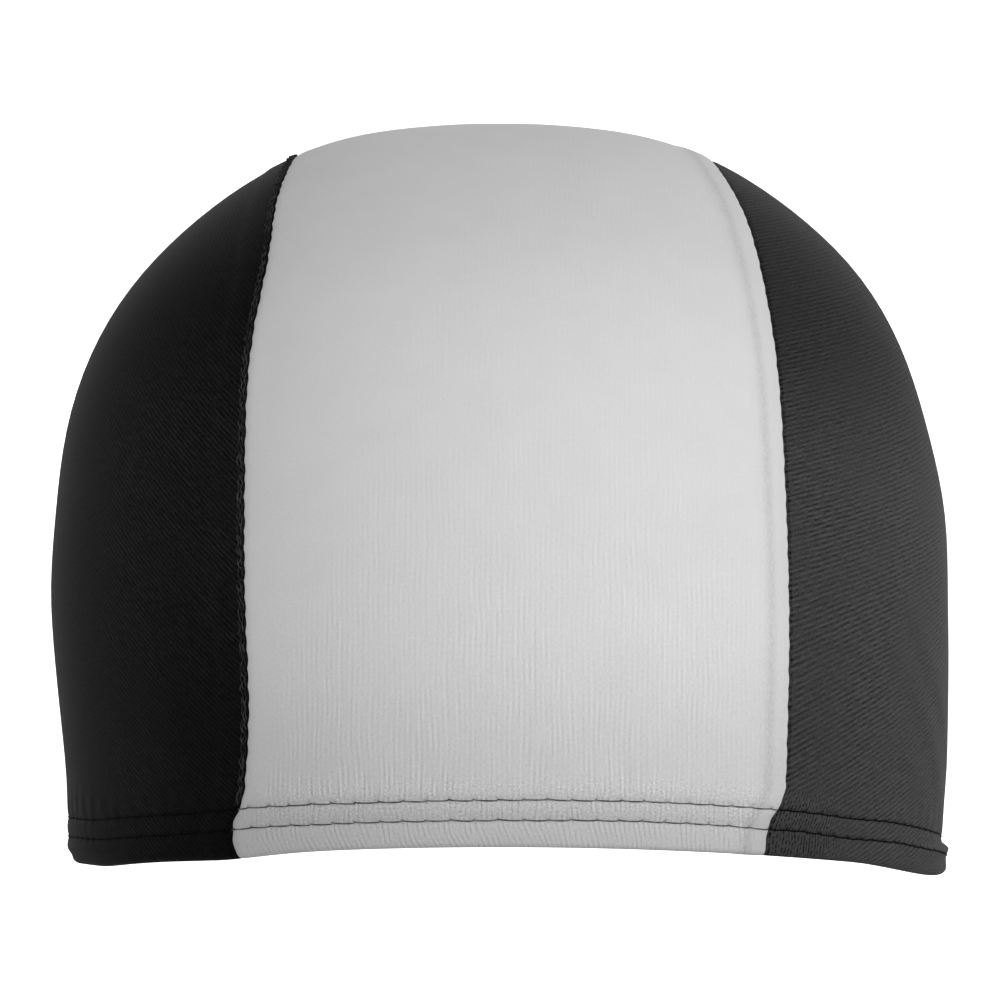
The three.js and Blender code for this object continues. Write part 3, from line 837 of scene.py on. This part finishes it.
class Shader:
    """A material's node tree, with a call for each kind of node that is used here."""

    def __init__(self, name, roughness, specular, sheen=0.0):
        self.material = bpy.data.materials.new(name)
        self.material.use_nodes = True
        self.tree = self.material.node_tree
        self.surface = self.tree.nodes["Principled BSDF"]
        self.surface.inputs["Roughness"].default_value = roughness
        self.surface.inputs["Specular IOR Level"].default_value = specular
        self.surface.inputs["Sheen Weight"].default_value = sheen
        self.surface.inputs["Sheen Roughness"].default_value = 0.45

    def node(self, kind, links=(), **settings):
        made = self.tree.nodes.new(kind)
        for key, value in settings.items():
            setattr(made, key, value)
        for socket, value in dict(links).items():
            if isinstance(value, bpy.types.NodeSocket):
                self.tree.links.new(value, made.inputs[socket])
            else:
                made.inputs[socket].default_value = value
        return made

    def math(self, operation, *values):
        return self.node("ShaderNodeMath", dict(enumerate(values)), operation=operation).outputs[0]

    def plus(self, first, *others):
        for other in others:
            first = self.math("ADD", first, other)
        return first

    def times(self, first, *others):
        for other in others:
            first = self.math("MULTIPLY", first, other)
        return first

    def attribute(self, name):
        return self.node("ShaderNodeAttribute", attribute_name=name).outputs["Fac"]

    def layer(self, name):
        """The two coordinates of a UV layer, in millimetres."""
        flat = self.node("ShaderNodeUVMap", uv_map=name).outputs[0]
        parts = self.node("ShaderNodeSeparateXYZ", {0: flat})
        return self.times(parts.outputs[0], 10.0), self.times(parts.outputs[1], 10.0)

    def joined(self, across, along):
        return self.node("ShaderNodeCombineXYZ", {0: across, 1: along}).outputs[0]

    def noise(self, across, along, wide, tall, detail=1.0, roughness=0.5):
        """Noise whose marks are about as wide and tall as given, in millimetres."""
        place = self.joined(self.times(across, 1 / wide), self.times(along, 1 / tall))
        links = {"Vector": place, "Scale": 1.0, "Detail": detail, "Roughness": roughness}
        return self.node("ShaderNodeTexNoise", links).outputs[0]

    def waves(self, across, along, period, direction="X", distortion=1.0, detail_scale=1.0):
        links = {
            "Vector": self.joined(across, along),
            "Scale": pi / 10 / period,
            "Distortion": distortion,
            "Detail": 1.0,
            "Detail Scale": detail_scale * 10 * period / pi,
        }
        return self.node("ShaderNodeTexWave", links, bands_direction=direction).outputs["Fac"]

    def ramp(self, value, low, high, out_low=0.0, out_high=1.0):
        links = {0: value, 1: low, 2: high, 3: out_low, 4: out_high}
        return self.node("ShaderNodeMapRange", links, interpolation_type="SMOOTHSTEP").outputs[0]

    def near(self, value, centre, reach):
        """One at the centre, falling to nothing at the reach."""
        return self.ramp(self.math("ABSOLUTE", self.plus(value, -centre)), 0.0, reach, 1.0, 0.0)

    def finish(self, brightness, grey_level, height, depth):
        """Brightness is about one, and scales the cloth's grey. Height is relief in units of depth."""
        value = self.times(brightness, grey_level)
        colour = self.node("ShaderNodeCombineColor", {0: value, 1: value, 2: value}).outputs[0]
        self.tree.links.new(colour, self.surface.inputs["Base Color"])
        bump = self.node("ShaderNodeBump", {"Strength": 1.0, "Distance": depth / 1000, "Height": height})
        self.tree.links.new(bump.outputs[0], self.surface.inputs["Normal"])
        return self.material


def needle_holes(s, around, height):
    """Small pits under the hem's knots, in both rows, which the knits sink as bump and darken with
    painted shade.
    """
    beat = s.plus(s.times(s.math("COSINE", s.times(around, 2 * pi / PITCH)), 0.5), 0.5)
    beat = s.math("POWER", beat, 8.0)
    rows = s.plus(s.near(height, LOWER_ROW + 0.1, 0.7), s.near(height, UPPER_ROW + 0.1, 0.7))
    return s.times(beat, rows)


def pale_knit():
    s = Shader("pale_knit", 0.75, 0.2, 0.04)
    x, along = s.layer("cloth")
    around, height = s.layer("round")
    from_left = s.attribute("left_seam")
    from_right = s.attribute("right_seam")
    away = s.times(s.ramp(from_left, 3.0, 8.0), s.ramp(from_right, 2.0, 6.5))

    # Gathers below the lower row lean to the right as they run down to the fold, as bump with painted
    # shade in their creases
    drop = s.math("MAXIMUM", s.plus(s.times(height, -1.0), LOWER_ROW), 0.0)
    lean = s.ramp(x, 4.0, 26.0, 0.18, 0.02)
    leaning = s.plus(x, s.times(s.math("POWER", drop, 1.35), lean, -1.0))
    bent = s.times(s.plus(s.noise(x, height, 6.0, 5.0, 0.0), -0.5), 9.0)
    gathers = s.math("COSINE", s.plus(s.times(leaning, 2 * pi / 0.76), bent))
    gathers = s.plus(s.ramp(gathers, -1.0, 0.3), -0.7)
    gathered = s.ramp(s.noise(leaning, height, 1.6, 2.2, 0.0), 0.36, 0.62, 0.15, 1.0)
    gathers = s.times(gathers, gathered, s.ramp(height, UPPER_ROW, UPPER_ROW + 2.0, 1.0, 0.0))

    # Ribs above the rows, as bump and as painted light and shade, in short lengths that fade up the wall
    sway = s.times(s.plus(s.noise(x, along, 8.0, 12.0, 0.0), -0.5), 7.0)
    ribs = s.math("COSINE", s.plus(s.times(x, 2 * pi / 0.765), sway))
    lengths = s.ramp(s.noise(x, along, 0.9, 5.5, 0.0), 0.36, 0.66, 0.1, 1.0)
    patches = s.ramp(s.noise(x, along, 14.0, 24.0, 0.0), 0.3, 0.6, 0.5, 1.0)
    inner = s.ramp(s.plus(x, s.times(along, -0.3), 45.0), 0.0, 9.0)
    rise = s.times(s.ramp(height, 9.5, 16.0, 1.9, 1.0), s.ramp(along, 28.0, 80.0, 1.0, 0.15))
    fade = s.times(rise, s.ramp(x, 26.0, 40.0, 1.0, 0.4), inner)
    ribs = s.times(ribs, lengths, patches, s.ramp(height, UPPER_ROW, UPPER_ROW + 2.0), fade)

    # Small flecks of painted glint and shade near the stitching, the knit's grain, and slow changes of
    # tone
    fleck = s.noise(x, along, 0.26, 0.34, 0.0)
    painted_glints_and_specks = s.plus(s.ramp(fleck, 0.58, 0.72), s.ramp(fleck, 0.28, 0.42, -1.0, 0.0))
    beside_rows = s.times(s.ramp(height, 9.0, 14.0, 1.0, 0.16), s.ramp(along, 20.0, 90.0, 1.0, 0.3))
    beside_rows = s.times(beside_rows, s.ramp(height, LOWER_ROW - 1.5, LOWER_ROW + 0.5, 0.4, 1.0))
    painted_glints_and_specks = s.times(painted_glints_and_specks, beside_rows, s.plus(s.times(away, 0.8), 0.2))
    grain = s.plus(s.noise(x, along, 0.3, 0.6, 0.0), -0.5)
    mottle = s.plus(s.noise(x, along, 7.0, 9.0, 1.0, 0.55), -0.5)
    holes = needle_holes(s, around, height)

    # Painted shade along the ridge over the right seam's allowance: a darker band, dotted where its
    # stitches press through
    allowance_shade = s.ramp(from_right, 3.6, 8.0, 1.0, 0.0)
    dots = s.noise(from_right, along, 0.5, 0.9, 0.0)
    band = s.times(s.near(from_right, 4.3, 1.7), s.plus(s.times(dots, 1.6), 0.1))

    # Painted shade darkens the cloth in the hem and up the lower front, and a painted light makes the
    # upper front a little paler
    hem = s.ramp(height, 6.5, 11.0, 0.77, 0.905)
    painted_shading = s.times(hem, s.ramp(along, 11.0, 44.0, 1.0, 1.13), s.ramp(along, 112.0, 140.0, 1.0, 1.035))
    # Painted light and shade: the gathers and ribs also lighten and darken the colour beside their bump,
    # and the small flecks are painted glints and specks of shade
    light = s.plus(1.0, s.times(gathers, away, 0.18), s.times(ribs, away, 0.085), s.times(painted_glints_and_specks, 0.17))
    grain_strength = s.ramp(along, 20.0, 70.0, 0.14, 0.06)
    # Painted shade in the needle holes
    light = s.plus(light, s.times(grain, grain_strength), s.times(mottle, 0.06), s.times(holes, -0.2))
    # Painted shade beside the right seam's allowance
    light = s.plus(light, s.times(allowance_shade, -0.05), s.times(band, -0.12))
    relief = s.plus(s.times(gathers, 0.4), s.times(ribs, 0.12), s.times(grain, 0.2))
    relief = s.plus(relief, s.times(holes, -1.2))
    return s.finish(s.times(light, painted_shading), 0.63, relief, 0.08)


def dark_knit(name, tone, period, mesh, contrast, flank, hem_shade, foot, crown):
    """Dark knit with diagonal lines.

    Mesh is how far the knit opens beside the front seam's hem. Contrast is how strongly the lines
    show, and flank is how much of them is left on the cap's side. Hem_shade, foot and crown paint
    shade into the cloth towards the hem and the top.
    """
    s = Shader(name, 0.7, 0.04, 0.02)
    back, phase = s.layer("cloth")
    around, height = s.layer("round")
    from_seam = s.attribute("seam")
    twill = s.plus(s.waves(s.times(back, 0.5), phase, period, "Y", 1.6, 0.5), -0.5)
    breaks = s.ramp(s.noise(back, phase, 1.4, period * 0.8, 0.0), 0.34, 0.62, 0.1, 1.0)
    beads = s.plus(s.noise(back, phase, 0.36, period * 0.45, 0.0), -0.5)
    patches = s.ramp(s.noise(back, phase, 16.0, 12.0, 1.0), 0.3, 0.65, 0.5, 1.0)
    near_seam = s.ramp(back, 9.0, 24.0, 1.0, 0.0)
    opened = s.times(near_seam, s.ramp(height, 6.5, 15.0, 1.0, 0.0), mesh)
    slant = s.times(s.math("MAXIMUM", s.plus(height, -LOWER_ROW), 0.0), -0.36)
    bent = s.times(s.plus(s.noise(back, height, 3.0, 3.0, 0.0), -0.5), 6.0)
    gaps = s.math("COSINE", s.plus(s.times(s.plus(back, slant), 2 * pi / 0.68), bent))
    gaps = s.times(s.ramp(gaps, -0.5, 0.7), s.ramp(s.noise(back, height, 0.45, 0.8, 0.0), 0.38, 0.54))
    gaps = s.times(gaps, opened)
    knit = s.times(twill, breaks, patches, s.plus(1.0, s.times(opened, -0.6)))
    knit = s.times(s.plus(s.times(knit, 1.5, s.ramp(back, 22.0, 44.0, 1.0, flank)), beads), contrast)
    # Painted shadow in a thin broken line beside the seam, which is also sunk as bump
    seam_shadow = s.ramp(s.noise(from_seam, phase, 1.5, 0.6, 0.0), 0.3, 0.55)
    seam_shadow = s.times(s.near(from_seam, 0.45, 0.5), seam_shadow)
    holes = needle_holes(s, around, height)
    # Painted shade along the two rows of stitches
    rows = s.plus(s.near(height, LOWER_ROW, 0.55), s.near(height, UPPER_ROW, 0.55))

    # Painted light and shade: the cloth is darkened towards the hem and the crown and low beside the
    # front seam, and lightened away from the front seam as a painted sheen
    painted_shade_and_sheen = s.times(s.ramp(height, 12.0, 62.0, foot, 1.0), s.ramp(height, *crown))
    painted_shade_and_sheen = s.times(painted_shade_and_sheen, s.ramp(back, 2.0, 40.0, 0.86, 1.06))
    painted_corner_shade = s.times(s.ramp(back, 4.0, 24.0, 1.0, 0.0), s.ramp(height, 16.0, 52.0, -0.4, 0.0), hem_shade)
    painted_shade_and_sheen = s.times(painted_shade_and_sheen, s.plus(1.0, painted_corner_shade))
    hem_side = s.plus(s.times(near_seam, 1 - hem_shade), hem_shade)
    shade = s.times(s.ramp(height, 0.0, 14.0, -0.25 - 0.25 * hem_shade, 0.0), hem_side)
    painted_shading = s.times(painted_shade_and_sheen, s.plus(1.0, shade))
    light = s.plus(1.0, knit, s.times(gaps, -1.1), s.times(opened, 0.48), s.times(seam_shadow, -0.6))
    # Painted shade in the needle holes and along the two rows of stitches
    light = s.plus(light, s.times(holes, -0.5), s.times(rows, -0.3))
    relief = s.plus(s.times(knit, 0.6), s.times(gaps, -1.2), s.times(seam_shadow, -0.6))
    return s.finish(s.times(s.math("MAXIMUM", light, 0.1), painted_shading), tone, relief, 0.05)


def thread(name, tone, tone_on_pale=None):
    """Dull thread. It looks paler where the pale panel's loops half cover it."""
    s = Shader(name, 0.8, 0.03)
    place = s.node("ShaderNodeTexCoord").outputs["Object"]
    fibres = s.node("ShaderNodeTexNoise", {"Vector": place, "Scale": 5000.0, "Detail": 1.0}).outputs[0]
    lengths = s.node("ShaderNodeTexNoise", {"Vector": place, "Scale": 800.0, "Detail": 0.0}).outputs[0]
    brightness = s.times(s.plus(s.times(fibres, 1.2), 0.4), s.ramp(lengths, 0.3, 0.7, 0.55, 1.45))
    if tone_on_pale is not None:
        on_pale = s.attribute("on_pale")
        brightness = s.times(brightness, s.ramp(on_pale, 0.0, 1.0, 1.0, tone_on_pale / tone))
    return s.finish(brightness, tone, fibres, 0.02)


def bound_edge():
    s = Shader("bound_edge", 0.8, 0.15)
    across, along = s.layer("cloth")
    weave = s.noise(across, along, 0.7, 0.35, 2.0, 0.6)
    return s.finish(s.plus(s.times(weave, 1.4), 0.3), 0.022, weave, 0.15)


def dress(piece, material, slot, *nodes):
    piece.data.materials.append(material)
    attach(piece, "root")
    for node in nodes:
        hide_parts(node)


generator = np.random.default_rng(11)
black_cloth = dark_knit(
    "black_knit", tone=0.0087, period=0.95, mesh=0.25, contrast=1.9, flank=0.15,
    hem_shade=1.0, foot=0.76, crown=(68.0, 100.0, 1.0, 0.38),
)
charcoal_cloth = dark_knit(
    "charcoal_knit", tone=0.048, period=0.86, mesh=1.0, contrast=0.78, flank=0.9,
    hem_shade=0.1, foot=0.94, crown=(60.0, 94.0, 1.0, 0.52),
)
dress(centre_panel(), pale_knit(), "pale_knit", "centre_panel")
dress(side_panel(LEFT, "left_panel_cloth"), black_cloth, "black_knit", "left_panel")
dress(side_panel(RIGHT, "right_panel_cloth"), charcoal_cloth, "charcoal_knit", "right_panel")
edge_cloth = bound_edge()
dress(seam_allowance(LEFT, "left_bound_edge"), edge_cloth, "seam_overlock", "left_seam_allowance")
dress(seam_allowance(RIGHT, "right_bound_edge"), edge_cloth, "seam_overlock", "right_seam_allowance")

dark_thread = thread("dark_thread", 0.002, 0.11)
loop_thread = thread("loop_thread", 0.034)
rows = [hem_thread(LOWER_ROW, generator), hem_thread(UPPER_ROW, generator)]
dress(thread_mesh("hem_stitching", rows), dark_thread, "seam_overlock")
dress(thread_mesh("hem_cover_thread", [cover_thread(generator)]), dark_thread, "seam_overlock")
dress(thread_mesh("left_seam_braid", seam_braid(generator), 5), loop_thread, "seam_overlock")
dress(thread_mesh("left_overlock_thread", overlock_threads(LEFT), 5), loop_thread, "seam_overlock")
dress(thread_mesh("right_overlock_thread", overlock_threads(RIGHT), 5), loop_thread, "seam_overlock")


def plain_material(name, albedo, emission=0.0):
    material = bpy.data.materials.new(name)
    material.use_nodes = True
    surface = material.node_tree.nodes["Principled BSDF"]
    surface.inputs["Base Color"].default_value = (albedo, albedo, albedo, 1)
    surface.inputs["Roughness"].default_value = 0.9
    surface.inputs["Specular IOR Level"].default_value = 0.0
    surface.inputs["Emission Color"].default_value = (1, 1, 1, 1)
    surface.inputs["Emission Strength"].default_value = emission
    return material


def stage_mesh(name, vertices, faces, material):
    mesh = bpy.data.meshes.new(name)
    mesh.from_pydata(vertices, [], faces)
    mesh.materials.append(material)
    piece = bpy.data.objects.new(name, mesh)
    bpy.context.scene.collection.objects.link(piece)


def stage():
    """A pale round floor, a bright screen behind the cap, and softly lit walls on the other sides."""
    radius, floor, top = 3.0, -0.45, 2.6

    def ring(name, start, end, material):
        turns = np.radians(np.linspace(start, end, 33))
        low = [(radius * np.sin(a), -radius * np.cos(a), floor) for a in turns]
        high = [(x, y, top) for x, y, _ in low]
        faces = [(i, i + 1, i + 34, i + 33) for i in range(32)]
        stage_mesh(name, low + high, faces, material)

    ring("screen", 152, 208, plain_material("screen", 0.8, 1.03))
    ring("wall", -152, 152, plain_material("wall", 0.7, 0.22))
    turns = np.linspace(0, 2 * pi, 65)[:-1]
    rim = [(radius * np.sin(a), -radius * np.cos(a), floor) for a in turns]
    stage_mesh("floor", rim, [tuple(range(64))], plain_material("floor", 0.75))


stage()


def area_light(name, azimuth, elevation, distance, size, power):
    """A square soft light aimed at the cap. Azimuth is from the camera's side, positive to the right."""
    target = np.array([0, 0, 0.06])
    data = bpy.data.lights.new(name, "AREA")
    data.shape = "SQUARE"
    data.size = size
    data.energy = power
    light = bpy.data.objects.new(name, data)
    a, e = radians(azimuth), radians(elevation)
    direction = np.array([np.sin(a) * np.cos(e), -np.cos(a) * np.cos(e), np.sin(e)])
    light.location = target + direction * distance
    bpy.context.scene.collection.objects.link(light)
    aim = light.location.copy()
    aim.x -= target[0]
    aim.y -= target[1]
    aim.z -= target[2]
    light.rotation_euler = aim.to_track_quat("Z", "Y").to_euler()


area_light("key", azimuth=38, elevation=24, distance=2.2, size=1.5, power=29)
area_light("fill", azimuth=-25, elevation=10, distance=2.4, size=1.6, power=3.5)
world = bpy.data.worlds.new("studio")
world.use_nodes = True
world.node_tree.nodes["Background"].inputs[0].default_value = (1, 1, 1, 1)
world.node_tree.nodes["Background"].inputs[1].default_value = 0.14
bpy.context.scene.world = world

camera_data = bpy.data.cameras.new("camera")
camera_data.sensor_width = 36
camera_data.lens = 201.6
camera_data.clip_end = 20
camera = bpy.data.objects.new("camera", camera_data)
camera.location = (0.00009, -1.0, 0.065)
camera.rotation_euler = (radians(90), 0, 0)
bpy.context.scene.collection.objects.link(camera)
bpy.context.scene.camera = camera
bpy.context.scene.view_settings.view_transform = "Standard"
